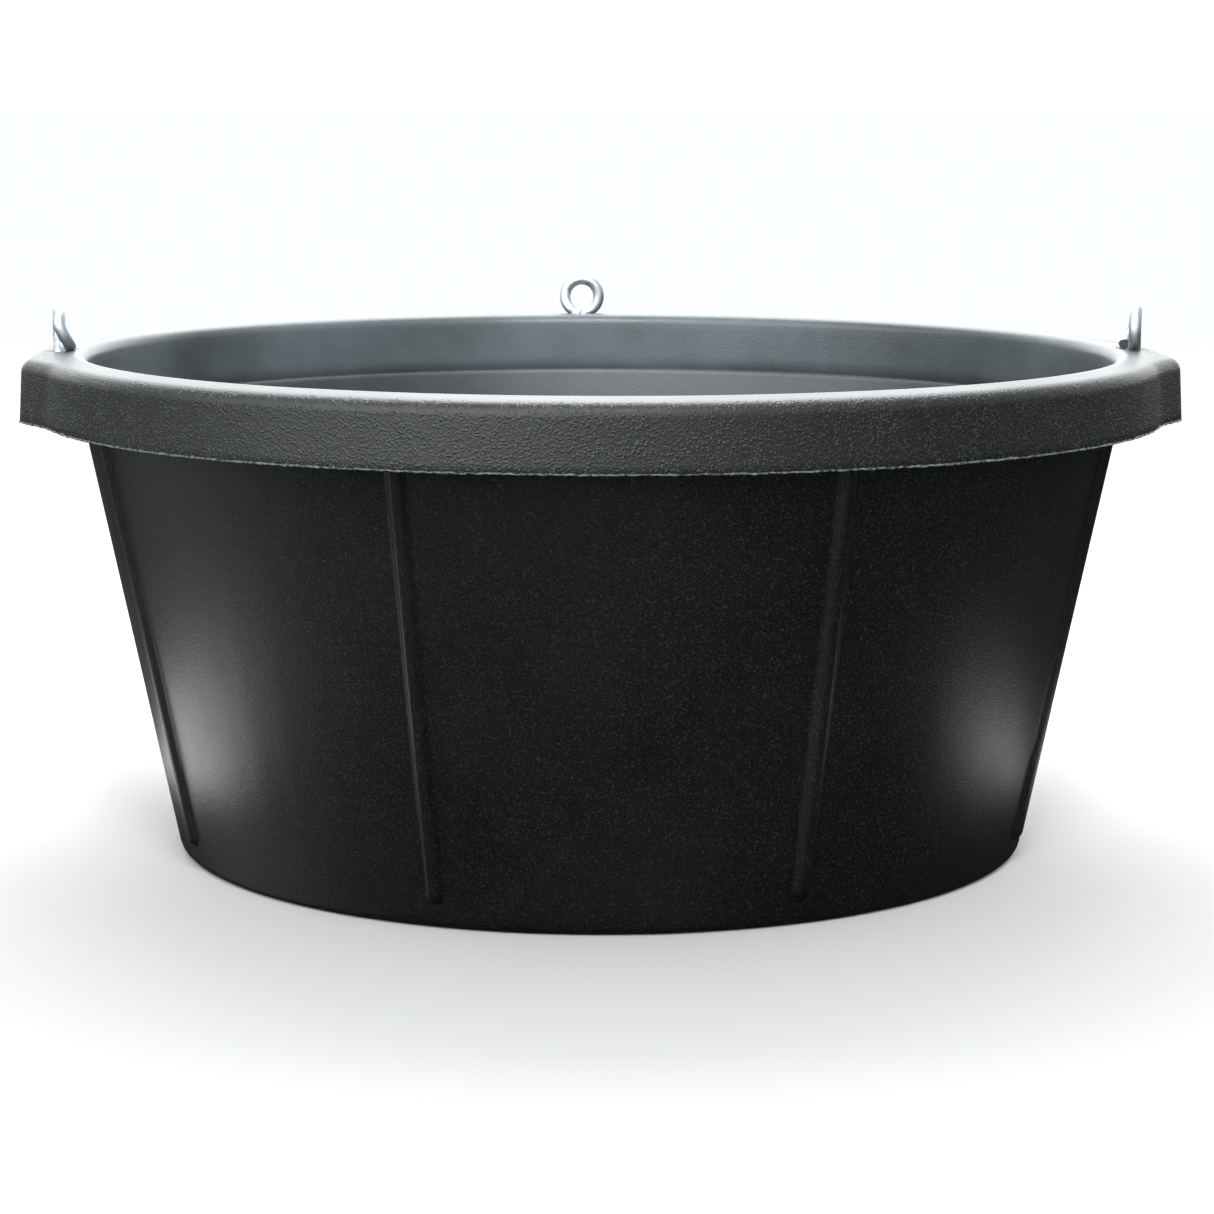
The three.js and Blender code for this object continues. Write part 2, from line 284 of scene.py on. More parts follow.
    # relief: the grain everywhere, and the pebbles on top of it
    fine = {"Height": grain, "Strength": 0.7, "Distance": GRAIN_DEPTH * MM}
    fine = add(tree, "ShaderNodeBump", fine)
    relief = {"Height": pebbles, "Strength": 1.0, "Distance": CRUMB_PROUD * MM, "Normal": fine}
    relief = add(tree, "ShaderNodeBump", relief)
    tree.links.new(relief.outputs[0], shader.inputs["Normal"])
    return material


RUBBER = moulded_rubber()
print("made", RUBBER.name)

# %% [markdown]
# ## Torn rubber
# Where a mould's halves meet, the rubber tears when the pan is pulled out. The torn edge has
# no moulded skin, so it is paler and rougher than the face beside it, and dust clings to it.

# %% Torn rubber
TEAR_SCALE = 500.0  # tears about 2 mm long
TORN_LOW, TORN_HIGH = "#171B19", "#767D7A"


def torn_rubber():
    looks = {"IOR": RUBBER_IOR, "Metallic": 0.0, "Roughness": 0.5}
    material, tree, shader = new_material("torn_rubber", **looks)
    place = add(tree, "ShaderNodeTexCoord").outputs["Object"]
    tear = add(tree, "ShaderNodeTexNoise", {"Vector": place, "Scale": TEAR_SCALE, "Detail": 3.0})
    tint = {"Value": tear, "From Min": 0.35, "From Max": 0.65}
    tint = add(tree, "ShaderNodeMapRange", tint)
    tint = {0: tint, 6: colour(TORN_LOW), 7: colour(TORN_HIGH)}
    tint = add(tree, "ShaderNodeMix", tint, data_type="RGBA")
    tree.links.new(tint.outputs[2], shader.inputs["Base Color"])
    ragged = {"Height": tear, "Strength": 0.8, "Distance": 0.4 * MM}
    ragged = add(tree, "ShaderNodeBump", ragged)
    tree.links.new(ragged.outputs[0], shader.inputs["Normal"])
    return material


TORN_RUBBER = torn_rubber()
print("made", TORN_RUBBER.name)

# %% [markdown]
# ## Zinc-plated steel
# The bolts are bent from drawn mild steel and then plated with bright zinc. Zinc is a cool,
# slightly blue metal. The drawn wire keeps a fine grain under the plate, and plating leaves
# faint cloudy patches.

# %% Zinc plate
CLOUD_SCALE = 260.0  # clouds about 4 mm across
DRAWN_SCALE = 1400.0  # the drawn surface, 0.7 mm, drawn coarse enough to show
ZINC_LOW, ZINC_HIGH = "#A9B4BB", "#CDD5DA"


def zinc_plate():
    material, tree, shader = new_material("bright_zinc_plate", Metallic=1.0)
    place = add(tree, "ShaderNodeTexCoord").outputs["Object"]
    cloud = {"Vector": place, "Scale": CLOUD_SCALE, "Detail": 3.0}
    cloud = add(tree, "ShaderNodeTexNoise", cloud)
    drawn = {"Vector": place, "Scale": DRAWN_SCALE, "Detail": 2.0}
    drawn = add(tree, "ShaderNodeTexNoise", drawn)
    tint = {0: cloud, 6: colour(ZINC_LOW), 7: colour(ZINC_HIGH)}
    tint = add(tree, "ShaderNodeMix", tint, data_type="RGBA")
    tree.links.new(tint.outputs[2], shader.inputs["Base Color"])
    polish = add(tree, "ShaderNodeMapRange", {"Value": cloud, "To Min": 0.42, "To Max": 0.54})
    tree.links.new(polish.outputs[0], shader.inputs["Roughness"])
    marks = {"Height": drawn, "Strength": 0.25, "Distance": 0.1 * MM}
    marks = add(tree, "ShaderNodeBump", marks)
    tree.links.new(marks.outputs[0], shader.inputs["Normal"])
    return material


ZINC = zinc_plate()
print("made", ZINC.name)

# %% [markdown]
# ## Nylon
# The ring that locks each nut is natural nylon, an off-white plastic with a waxy look. A
# little light passes into it, and its turned face is slightly uneven.

# %% Nylon
HAZE_SCALE = 700.0  # haze about 1.4 mm across
NYLON_LOW, NYLON_HIGH = "#D9D6C8", "#ECEAE0"


def natural_nylon():
    looks = {"IOR": 1.53, "Roughness": 0.42, "Subsurface_Weight": 0.15}
    material, tree, shader = new_material("natural_nylon", **looks)
    place = add(tree, "ShaderNodeTexCoord").outputs["Object"]
    haze = {"Vector": place, "Scale": HAZE_SCALE, "Detail": 2.0}
    haze = add(tree, "ShaderNodeTexNoise", haze)
    tint = {0: haze, 6: colour(NYLON_LOW), 7: colour(NYLON_HIGH)}
    tint = add(tree, "ShaderNodeMix", tint, data_type="RGBA")
    tree.links.new(tint.outputs[2], shader.inputs["Base Color"])
    turned = {"Height": haze, "Strength": 0.2, "Distance": 0.05 * MM}
    turned = add(tree, "ShaderNodeBump", turned)
    tree.links.new(turned.outputs[0], shader.inputs["Normal"])
    return material


NYLON = natural_nylon()
print("made", NYLON.name)

# %% [markdown]
# ## The section of the tub
# A round moulding is drawn as one closed section and turned about its axis. The section runs
# from the middle of the underside, up the outside, over the rim and down into the bowl. Each
# point also says what it belongs to, so that the shape tree can raise ribs on the wall and
# press dishes into the rim's top.

# %% Section
def arc(x, z, radius, start, end, steps):
    angles = [math.radians(start + (end - start) * i / steps) for i in range(steps + 1)]
    return [(x + radius * math.cos(a), z + radius * math.sin(a)) for a in angles]


def run(points, target, steps):
    """Goes straight on from the last point to a target, in equal steps."""
    (x0, z0), (x1, z1) = points[-1], target
    shares = [i / steps for i in range(1, steps + 1)]
    return points + [(x0 + (x1 - x0) * share, z0 + (z1 - z0) * share) for share in shares]


def outer_wall(z):
    return BASE_RADIUS + WALL_RISE * z


def inner_wall(z):
    return outer_wall(z) - WALL


LEAN = math.degrees(math.atan(WALL_RISE))
SKIRT_LOW = RIM_TOP - RIM_DROP
SKIRT_RADIUS = RIM_OUTER + RIM_FLARE
UNDER_CORNER = 2.0  # the rounds between the wall, the top's underside and the skirt
LIP_IN, LIP_OUT = 1.2, 0.8  # the rounds on the skirt's lower edge
TOP_SLOPE = 85  # degrees of the outer round, which leaves the top sloping to the crest
LEDGE_NOSE, LEDGE_ROOT = 0.6, 0.7  # the rounds of the ledge's outer and inner corners


def underside():
    centre = outer_wall(FOOT_FILLET) - FOOT_FILLET / math.cos(math.radians(LEAN))
    points = run([(0, 0)], (centre - 3, 0), 5)
    return points + arc(centre, FOOT_FILLET, FOOT_FILLET, -90, -LEAN, 6)


def outer_face():
    heights = [RIB_BOTTOM - 3 + i for i in range(12)]
    heights += [heights[-1] + (SKIRT_LOW - heights[-1]) * i / 9 for i in range(1, 10)]
    return [(outer_wall(z), z) for z in heights + [RIM_TOP - 20, RIM_TOP - 9]]


def skirt():
    under, corner = RIM_TOP - FLANGE, UNDER_CORNER
    points = arc(outer_wall(under) + corner, under - corner, corner, 180, 90, 3)
    inner = RIM_OUTER - SKIRT
    points = run(points, (inner - corner, under), 3)
    points += arc(inner - corner, under - corner, corner, 90, 0, 3)[1:]
    lip = SKIRT_RADIUS - SKIRT + 0.6
    points = run(points, (lip, SKIRT_LOW + LIP_IN), 3)
    points += arc(lip + LIP_IN, SKIRT_LOW + LIP_IN, LIP_IN, 180, 270, 3)[1:]
    points += arc(SKIRT_RADIUS - LIP_OUT, SKIRT_LOW + LIP_OUT, LIP_OUT, -90, 0, 3)
    return run(points, (RIM_OUTER, RIM_TOP - RIM_DROOP - OUTER_ROUND), 7)


def rim_top():
    low = RIM_TOP - RIM_DROOP
    points = arc(RIM_OUTER - OUTER_ROUND, low - OUTER_ROUND, OUTER_ROUND, 0, TOP_SLOPE, 10)[1:]
    points = run(points, (CREST + 1, RIM_TOP), 9)
    return points + arc(CREST, RIM_TOP - INNER_ROUND, INNER_ROUND, 90, 180, 8)


def bowl():
    ledge = RIM_TOP - LEDGE
    mouth = CREST - INNER_ROUND
    points = run([(mouth - 0.1, RIM_TOP - 9)], (mouth - 0.6, ledge + 1.2), 3)
    points += arc(mouth - 1.0, ledge + LEDGE_NOSE, LEDGE_NOSE, 0, -90, 2)
    points += arc(inner_wall(ledge - 1) + 0.8, ledge - 0.6, LEDGE_ROOT, 90, 180, 3)
    corner = FLOOR + BOWL_FILLET
    centre = inner_wall(corner) - BOWL_FILLET / math.cos(math.radians(LEAN))
    points = run(points, (inner_wall(corner) + 0.2, corner + 1), 9)
    points += arc(centre, corner, BOWL_FILLET, -LEAN, -90, 8)
    return run(points, (0, FLOOR), 5)


SECTION = [(point, "plain") for point in underside()]
SECTION += [(point, "wall") for point in outer_face()]
SECTION += [(point, "plain") for point in skirt()]
SECTION += [(point, "top") for point in rim_top()]
SECTION += [(point, "plain") for point in bowl()]
print("the section has", len(SECTION), "points")


def section_object():
    mesh = bpy.data.meshes.new("section")
    mesh.from_pydata([(r * MM, 0, z * MM) for (r, z), _ in SECTION], [], [])
    for tag in ("wall", "top"):
        values = mesh.attributes.new(tag, "FLOAT", "POINT")
        values.data.foreach_set("value", [float(kind == tag) for _, kind in SECTION])
    return bpy.data.objects.new("section", mesh)


# %% [markdown]
# ## The rim's outline
# The rim is round, with a flat pad at the left, the right and the back, each with a slanting
# flank on both sides. Seen from above, a pad is the part of three straight lines that stands
# outside the circle. The distance to a straight line at an angle is its nearest distance over
# a cosine, so the outline is a short sum: the smaller of the face and the flank, and then the
# larger of that and the circle. Blender's smooth minimum and maximum round the corners as the
# mould does.

# %% Outline group
FACE_RADIUS = SKIRT_RADIUS + PAD_OUT
FLANK_TURN = math.atan2(
    FACE_RADIUS - SKIRT_RADIUS * math.cos(PAD_FOOT),
    SKIRT_RADIUS * math.sin(PAD_FOOT) - FACE_RADIUS * math.tan(PAD_CORNER),
)
FLANK_REACH = math.cos(FLANK_TURN) + math.tan(PAD_CORNER) * math.sin(FLANK_TURN)
PAD_SOFTNESS = 1.6  # how far a pad's corners are rounded


def pad_outline():
    sockets = {"Radius": "Float", "Azimuth": "Float"}
    tree, given = new_tree("pad outline", sockets, {"Radius": "Float"})
    radius, azimuth = given["Radius"], given["Azimuth"]
    across = add(tree, "ShaderNodeMath", {0: azimuth}, operation="COSINE")
    across = add(tree, "ShaderNodeMath", {0: across}, operation="ABSOLUTE")
    along = add(tree, "ShaderNodeMath", {0: azimuth}, operation="SINE")
    nearest = add(tree, "ShaderNodeMath", {0: across, 1: along}, operation="MAXIMUM")
    away = add(tree, "ShaderNodeMath", {0: nearest}, operation="ARCCOSINE")
    away = add(tree, "ShaderNodeMath", {0: away, 1: FLANK_TURN}, operation="MINIMUM")

    out = add(tree, "ShaderNodeMath", {0: radius, 1: PAD_OUT * MM}, operation="ADD")
    slant = add(tree, "ShaderNodeMath", {0: away}, operation="COSINE")
    face = add(tree, "ShaderNodeMath", {0: out, 1: slant}, operation="DIVIDE")
    turned = add(tree, "ShaderNodeMath", {0: away, 1: FLANK_TURN}, operation="SUBTRACT")
    turned = add(tree, "ShaderNodeMath", {0: turned}, operation="COSINE")
    reach = add(tree, "ShaderNodeMath", {0: out, 1: FLANK_REACH}, operation="MULTIPLY")
    flank = add(tree, "ShaderNodeMath", {0: reach, 1: turned}, operation="DIVIDE")
    soft = PAD_SOFTNESS * MM
    pad = add(tree, "ShaderNodeMath", {0: face, 1: flank, 2: soft}, operation="SMOOTH_MIN")
    outline = add(tree, "ShaderNodeMath", {0: radius, 1: pad, 2: soft}, operation="SMOOTH_MAX")
    add(tree, "NodeGroupOutput", {"Radius": outline})
    return tree


PAD_OUTLINE = pad_outline()
print("each flank turns", round(math.degrees(FLANK_TURN), 1), "degrees from its pad's face")

# %% [markdown]
# ## Turning the tub
# A grid has one row of points for each point of the section and one column for each step round
# the tub. Every point looks up its row in the section and its column's angle, and moves there.
# Columns are closer together at every sixteenth of a turn, where a rib or an eye bolt needs
# finer steps. A rib is a rounded ridge whose height depends only on the distance to its centre
# line, so it needs no piece of its own.

# %% Turning tree
COLUMNS, CROWDING = 768, 0.5  # columns round the tub, and how strongly they crowd
RIBS, RIB_FLATNESS, RIB_SHOULDER = 8, 3.0, 1.3  # how flat a rib's top is, how soft its foot
WANDER, WANDER_SCALE = 0.6, 4.0  # how far the radius wanders, and how often on the way round
DISH_SOFTNESS = 1.2  # how far a dish's lip is rounded
MERGE = 0.01  # closes the seam and the two poles
HOLE, PLUG_SIDES = WIRE + 0.25, 40
CREASE = math.radians(50)  # an edge bent more than this is shaded sharp


def turned_tub():
    sockets = {"Geometry": "Geometry", "Columns": "Int", "Rows": "Int"}
    sockets = {**sockets, "Rib height": "Float", "Finish": "Material"}
    tree, given = new_tree("turned tub", sockets, {"Geometry": "Geometry"})
    columns = add(tree, "FunctionNodeIntegerMath", {0: given["Columns"], 1: 1}, operation="ADD")
    grid = {"Vertices X": given["Rows"], "Vertices Y": columns}
    grid = add(tree, "GeometryNodeMeshGrid", grid)
    index = add(tree, "GeometryNodeInputIndex")
    row = add(tree, "FunctionNodeIntegerMath", {0: index, 1: columns}, operation="DIVIDE_FLOOR")
    column = add(tree, "FunctionNodeIntegerMath", {0: index, 1: columns}, operation="MODULO")

    # azimuth, crowded at every sixteenth of a turn
    share = add(tree, "ShaderNodeMath", {0: column, 1: given["Columns"]}, operation="DIVIDE")
    even = add(tree, "ShaderNodeMath", {0: share, 1: 2 * math.pi}, operation="MULTIPLY")
    wave = add(tree, "ShaderNodeMath", {0: even, 1: 2.0 * RIBS}, operation="MULTIPLY")
    wave = add(tree, "ShaderNodeMath", {0: wave}, operation="SINE")
    azimuth = {0: wave, 1: -CROWDING / 2 / RIBS, 2: even}
    azimuth = add(tree, "ShaderNodeMath", azimuth, operation="MULTIPLY_ADD")

    # this row's point of the section, and what it belongs to
    at = add(tree, "GeometryNodeInputPosition")
    at = {"Geometry": given["Geometry"], "Value": at, "Index": row}
    at = add(tree, "GeometryNodeSampleIndex", at, data_type="FLOAT_VECTOR")
    tags = {}
    for tag in ("wall", "top"):
        named = {"Name": tag}
        named = add(tree, "GeometryNodeInputNamedAttribute", named, data_type="FLOAT")
        values = {"Geometry": given["Geometry"], "Value": named.outputs[0], "Index": row}
        tags[tag] = add(tree, "GeometryNodeSampleIndex", values, data_type="FLOAT")
    point = add(tree, "ShaderNodeSeparateXYZ", {0: at})
    radius, height = point.outputs["X"], point.outputs["Z"]

    # pads: full beyond the wall, none inside it
    pad = add(tree, "GeometryNodeGroup", node_tree=PAD_OUTLINE)
    tree.links.new(radius, pad.inputs["Radius"])
    tree.links.new(azimuth.outputs[0], pad.inputs["Azimuth"])
    beyond = {"Value": radius, "From Min": outer_wall(RIM_TOP - FLANGE) * MM}
    beyond = {**beyond, "From Max": (RIM_OUTER - SKIRT - 0.1) * MM}
    beyond = add(tree, "ShaderNodeMapRange", beyond)
    high = {0: height, 1: (SKIRT_LOW - 1) * MM}
    high = add(tree, "ShaderNodeMath", high, operation="GREATER_THAN")
    beyond = add(tree, "ShaderNodeMath", {0: beyond, 1: high}, operation="MULTIPLY")
    padded = {0: beyond, 2: radius, 3: pad}
    padded = add(tree, "ShaderNodeMix", padded, data_type="FLOAT")

    # ribs: distance from the nearest rib's centre line, which ends in a half round
    turns = {0: azimuth, 1: RIBS / (2 * math.pi)}
    turns = add(tree, "ShaderNodeMath", turns, operation="MULTIPLY")
    part = add(tree, "ShaderNodeMath", {0: turns, 1: 1.0}, operation="FLOORED_MODULO")
    part = add(tree, "ShaderNodeMath", {0: part, 1: 0.5}, operation="SUBTRACT")
    angle = add(tree, "ShaderNodeMath", {0: part, 1: 2 * math.pi / RIBS}, operation="MULTIPLY")
    aside = add(tree, "ShaderNodeMath", {0: angle, 1: radius}, operation="MULTIPLY")
    below = {0: (RIB_BOTTOM + RIB_RADIUS) * MM, 1: height}
    below = add(tree, "ShaderNodeMath", below, operation="SUBTRACT")
    below = add(tree, "ShaderNodeMath", {0: below, 1: 0.0}, operation="MAXIMUM")
    offset = add(tree, "ShaderNodeCombineXYZ", {0: aside, 1: below})
    distance = add(tree, "ShaderNodeVectorMath", {0: offset}, operation="LENGTH")
    share = add(tree, "ShaderNodeMapRange", {"Value": distance, "From Max": RIB_RADIUS * MM})
    fall = add(tree, "ShaderNodeMath", {0: share, 1: RIB_FLATNESS}, operation="POWER")
    ridge = add(tree, "ShaderNodeMath", {0: 1.0, 1: fall}, operation="SUBTRACT")
    ridge = add(tree, "ShaderNodeMath", {0: ridge, 1: RIB_SHOULDER}, operation="POWER")
    ridge = add(tree, "ShaderNodeMath", {0: ridge, 1: given["Rib height"]}, operation="MULTIPLY")
    ridge = add(tree, "ShaderNodeMath", {0: ridge, 1: tags["wall"]}, operation="MULTIPLY")
    ribbed = add(tree, "ShaderNodeMath", {0: padded, 1: ridge}, operation="ADD")

    # into place, with a slow wander in the radius, because rubber never sets quite round
    cosine = add(tree, "ShaderNodeMath", {0: azimuth}, operation="COSINE")
    sine = add(tree, "ShaderNodeMath", {0: azimuth}, operation="SINE")
    ray = add(tree, "ShaderNodeCombineXYZ", {0: cosine, 1: sine})
    wander = {"Vector": ray, "Scale": WANDER_SCALE, "Detail": 2.0}
    wander = add(tree, "ShaderNodeTexNoise", wander)
    wander = {"Value": wander, "To Min": -WANDER * MM, "To Max": WANDER * MM}
    wander = add(tree, "ShaderNodeMapRange", wander)
    steady = add(tree, "ShaderNodeMapRange", {"Value": radius, "From Min": 0.1, "From Max": 0.2})
    wander = add(tree, "ShaderNodeMath", {0: wander, 1: steady}, operation="MULTIPLY")
    final = add(tree, "ShaderNodeMath", {0: ribbed, 1: wander}, operation="ADD")
    around = add(tree, "ShaderNodeVectorMath", {0: ray, 3: final}, operation="SCALE")

    # dishes: a sphere pressed into the top at each eye bolt
    folded = add(tree, "ShaderNodeVectorMath", {0: around}, operation="ABSOLUTE")
    side = {0: folded, 1: (EYE_OFFSET * MM, 0, 0)}
    side = add(tree, "ShaderNodeVectorMath", side, operation="DISTANCE")
    back = {0: around, 1: (0, EYE_OFFSET * MM, 0)}
    back = add(tree, "ShaderNodeVectorMath", back, operation="DISTANCE")
    near = add(tree, "ShaderNodeMath", {0: side, 1: back}, operation="MINIMUM")
    ball = (DISH_RADIUS**2 + DISH_DEPTH**2) / (2 * DISH_DEPTH)
    square = add(tree, "ShaderNodeMath", {0: near, 1: near}, operation="MULTIPLY")
    rest = add(tree, "ShaderNodeMath", {0: (ball * MM) ** 2, 1: square}, operation="SUBTRACT")
    rest = add(tree, "ShaderNodeMath", {0: rest, 1: 0.0}, operation="MAXIMUM")
    drop = add(tree, "ShaderNodeMath", {0: rest}, operation="SQRT")
    pressed = {0: (RIM_TOP - DISH_DEPTH + ball) * MM, 1: drop}
    pressed = add(tree, "ShaderNodeMath", pressed, operation="SUBTRACT")
    pressed = {0: height, 1: pressed, 2: DISH_SOFTNESS * MM}
    pressed = add(tree, "ShaderNodeMath", pressed, operation="SMOOTH_MIN")
    level = {0: tags["top"], 2: height, 3: pressed}
    level = add(tree, "ShaderNodeMix", level, data_type="FLOAT")
    lift = add(tree, "ShaderNodeCombineXYZ", {2: level})
    target = add(tree, "ShaderNodeVectorMath", {0: around, 1: lift}, operation="ADD")
    shape = add(tree, "GeometryNodeSetPosition", {"Geometry": grid, "Position": target})
    shape = {"Geometry": shape, "Distance": MERGE * MM}
    shape = add(tree, "GeometryNodeMergeByDistance", shape)
    shape = add(tree, "GeometryNodeFlipFaces", {"Mesh": shape})

    # bosses under the rim, and then the holes through them, at three of the four quarters
    quarters = add(tree, "GeometryNodeMeshCircle", {"Vertices": 4, "Radius": EYE_OFFSET * MM})
    number = add(tree, "GeometryNodeInputIndex")
    eyes = {2: number, 3: len(EYES)}
    eyes = add(tree, "FunctionNodeCompare", eyes, data_type="INT", operation="LESS_THAN")
    for radius_mm, low_mm, high_mm, how in (
        (BOSS_RADIUS, RIM_TOP - BOSS_DEPTH, RIM_TOP - FLANGE + 1, "UNION"),
        (HOLE, RIM_TOP - BOSS_DEPTH - 1, RIM_TOP, "DIFFERENCE"),
    ):
        plug = {"Vertices": PLUG_SIDES, "Radius": radius_mm * MM}
        plug = {**plug, "Depth": (high_mm - low_mm) * MM}
        plug = add(tree, "GeometryNodeMeshCylinder", plug)
        middle = (0, 0, (high_mm + low_mm) / 2 * MM)
        plug = add(tree, "GeometryNodeTransform", {"Geometry": plug, "Translation": middle})
        plugs = {"Points": quarters, "Selection": eyes, "Instance": plug}
        plugs = add(tree, "GeometryNodeInstanceOnPoints", plugs)
        plugs = {"Mesh 2": add(tree, "GeometryNodeRealizeInstances", {"Geometry": plugs})}
        join = add(tree, "GeometryNodeMeshBoolean", plugs, operation=how, solver="MANIFOLD")
        first = join.inputs["Mesh 2"] if how == "UNION" else join.inputs["Mesh 1"]
        tree.links.new(shape.outputs[0], first)
        shape = join

    finish_shape(tree, shape, given["Finish"], CREASE)
    return tree


TUB_VALUES = {"Columns": COLUMNS, "Rows": len(SECTION)}
TUB_VALUES = {**TUB_VALUES, "Rib height": RIB_PROUD * MM, "Finish": RUBBER}
tub = make_plain(section_object(), turned_tub(), TUB_VALUES, "rubber_tub")
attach(tub, "pan")
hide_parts("pan_body")

# %% [markdown]
# ## Mould flash
# The two halves of the mould meet at the skirt's lower edge. Rubber creeps into the joint and
# tears off when the pan is pulled out, so a thin ragged bead is left all the way round. It is
# a curve on the rim's outline whose thickness and height wander at random.

# %% Flash tree
FLASH_STEPS, FLASH_THICK, FLASH_SIDES = 1400, 0.55, 6
FLASH_LOW, FLASH_HIGH = 0.2, 0.9  # how far above the skirt's edge the bead wanders
RAGGED_SCALE, BULK_SCALE = 260.0, 410.0  # nicks about 4 mm long, lumps about 2.5 mm


def mould_flash():
    sockets = {"Geometry": "Geometry", "Steps": "Int"}
    sockets = {**sockets, "Thickness": "Float", "Finish": "Material"}
    tree, given = new_tree("mould flash", sockets, {"Geometry": "Geometry"})
    path = {"Resolution": given["Steps"], "Radius": (SKIRT_RADIUS - 0.1) * MM}
    circle = add(tree, "GeometryNodeCurvePrimitiveCircle", path)
    at = add(tree, "GeometryNodeInputPosition")
    split = add(tree, "ShaderNodeSeparateXYZ", {0: at})
    azimuth = {0: split.outputs["Y"], 1: split.outputs["X"]}
    azimuth = add(tree, "ShaderNodeMath", azimuth, operation="ARCTAN2")
    length = add(tree, "ShaderNodeVectorMath", {0: at}, operation="LENGTH")
    group = add(tree, "GeometryNodeGroup", node_tree=PAD_OUTLINE)
    tree.links.new(length.outputs["Value"], group.inputs["Radius"])
    tree.links.new(azimuth.outputs[0], group.inputs["Azimuth"])
    ray = add(tree, "ShaderNodeVectorMath", {0: at}, operation="NORMALIZE")
    around = {0: ray, 3: group.outputs["Radius"]}
    around = add(tree, "ShaderNodeVectorMath", around, operation="SCALE")
    ragged = {"Vector": at, "Scale": RAGGED_SCALE, "Detail": 3.0, "Roughness": 0.7}
    ragged = add(tree, "ShaderNodeTexNoise", ragged)
    height = {"Value": ragged, "From Min": 0.3, "From Max": 0.7}
    low, high = (SKIRT_LOW + FLASH_LOW) * MM, (SKIRT_LOW + FLASH_HIGH) * MM
    height = {**height, "To Min": low, "To Max": high}
    height = add(tree, "ShaderNodeMapRange", height)
    lift = add(tree, "ShaderNodeCombineXYZ", {2: height})
    target = add(tree, "ShaderNodeVectorMath", {0: around, 1: lift}, operation="ADD")
    path = add(tree, "GeometryNodeSetPosition", {"Geometry": circle, "Position": target})
    bulk = add(tree, "ShaderNodeTexNoise", {"Vector": at, "Scale": BULK_SCALE, "Detail": 2.0})
    bulk = {"Value": bulk, "From Min": 0.3, "From Max": 0.7, "To Min": 0.45, "To Max": 1.2}
    bulk = add(tree, "ShaderNodeMapRange", bulk)
    profile = {"Resolution": FLASH_SIDES, "Radius": given["Thickness"]}
    profile = add(tree, "GeometryNodeCurvePrimitiveCircle", profile)
    bead = {"Curve": path, "Profile Curve": profile, "Scale": bulk}
    bead = add(tree, "GeometryNodeCurveToMesh", bead)
    bead = add(tree, "GeometryNodeSetShadeSmooth", {"Geometry": bead})
    real = add(tree, "GeometryNodeRealizeInstances", {"Geometry": bead})
    finished = {"Geometry": real, "Material": given["Finish"]}
    finished = add(tree, "GeometryNodeSetMaterial", finished)
    add(tree, "NodeGroupOutput", {"Geometry": finished})
    return tree


blank = bpy.data.objects.new("blank", bpy.data.meshes.new("blank"))
FLASH_VALUES = {"Steps": FLASH_STEPS, "Thickness": FLASH_THICK * MM, "Finish": TORN_RUBBER}
flash = make_plain(blank, mould_flash(), FLASH_VALUES, "mould_flash")
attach(flash, "pan")

# %% [markdown]
# ## Eye bolts
# Each bolt is one length of 6 mm wire. It is threaded at one end, and the other end is bent
# round a pin into an eye and cut off beside the neck. The centre line is a straight, a short
# bend and most of a circle. A shape tree sweeps a round section along it and raises the thread
# on the shank.

# %% Bolt path
LEAVE, CUT = math.radians(-70), math.radians(238)
LEAD, LEAD_FROM = 4.8, math.radians(155)
PATH_STEP, NECK_STEPS, RING_STEPS = 0.16, 12, 90


def wire_path():
    """Points of the centre line, with the rim's top at Z = 0 and the bowl towards -Y."""
    centre = LOOP + WIRE - SINK
    bend = -LEAVE
    neck = LOOP * math.cos(LEAVE) / (1 - math.cos(bend))
    start = centre + LOOP * math.sin(LEAVE) - neck * math.sin(bend)
    steps = round((start + SHANK) / PATH_STEP)
    points = [(0, 0, -SHANK + (start + SHANK) * i / steps) for i in range(steps)]
    for i in range(NECK_STEPS):
        a = bend * i / NECK_STEPS
        points.append((neck * (1 - math.cos(a)), 0, start + neck * math.sin(a)))
    for i in range(RING_STEPS + 1):
        a = LEAVE + (CUT - LEAVE) * i / RING_STEPS
        lean = min(max((a - LEAD_FROM) / (CUT - LEAD_FROM), 0), 1)
        lean = lean * lean * (3 - 2 * lean)
        points.append((LOOP * math.cos(a), -LEAD * lean, centre + LOOP * math.sin(a)))
    return points


def path_object(points):
    curve = bpy.data.curves.new("path", "CURVE")
    curve.dimensions = "3D"
    spline = curve.splines.new("POLY")
    spline.points.add(len(points) - 1)
    for point, place in zip(spline.points, points):
        point.co = (*[v * MM for v in place], 1)
    return bpy.data.objects.new("path", curve)


# %% Bolt tree
WIRE_SIDES, WIRE_CREASE = 28, math.radians(60)
THREAD_PITCH, THREAD_LENGTH, THREAD_DEPTH = 1.0, 17.0, 0.55
RUN_OUT = 1.0  # the thread fades out over its last millimetre
LEAD_IN, LEAD_IN_DEPTH = 1.0, 0.5  # the chamfer that starts the nut


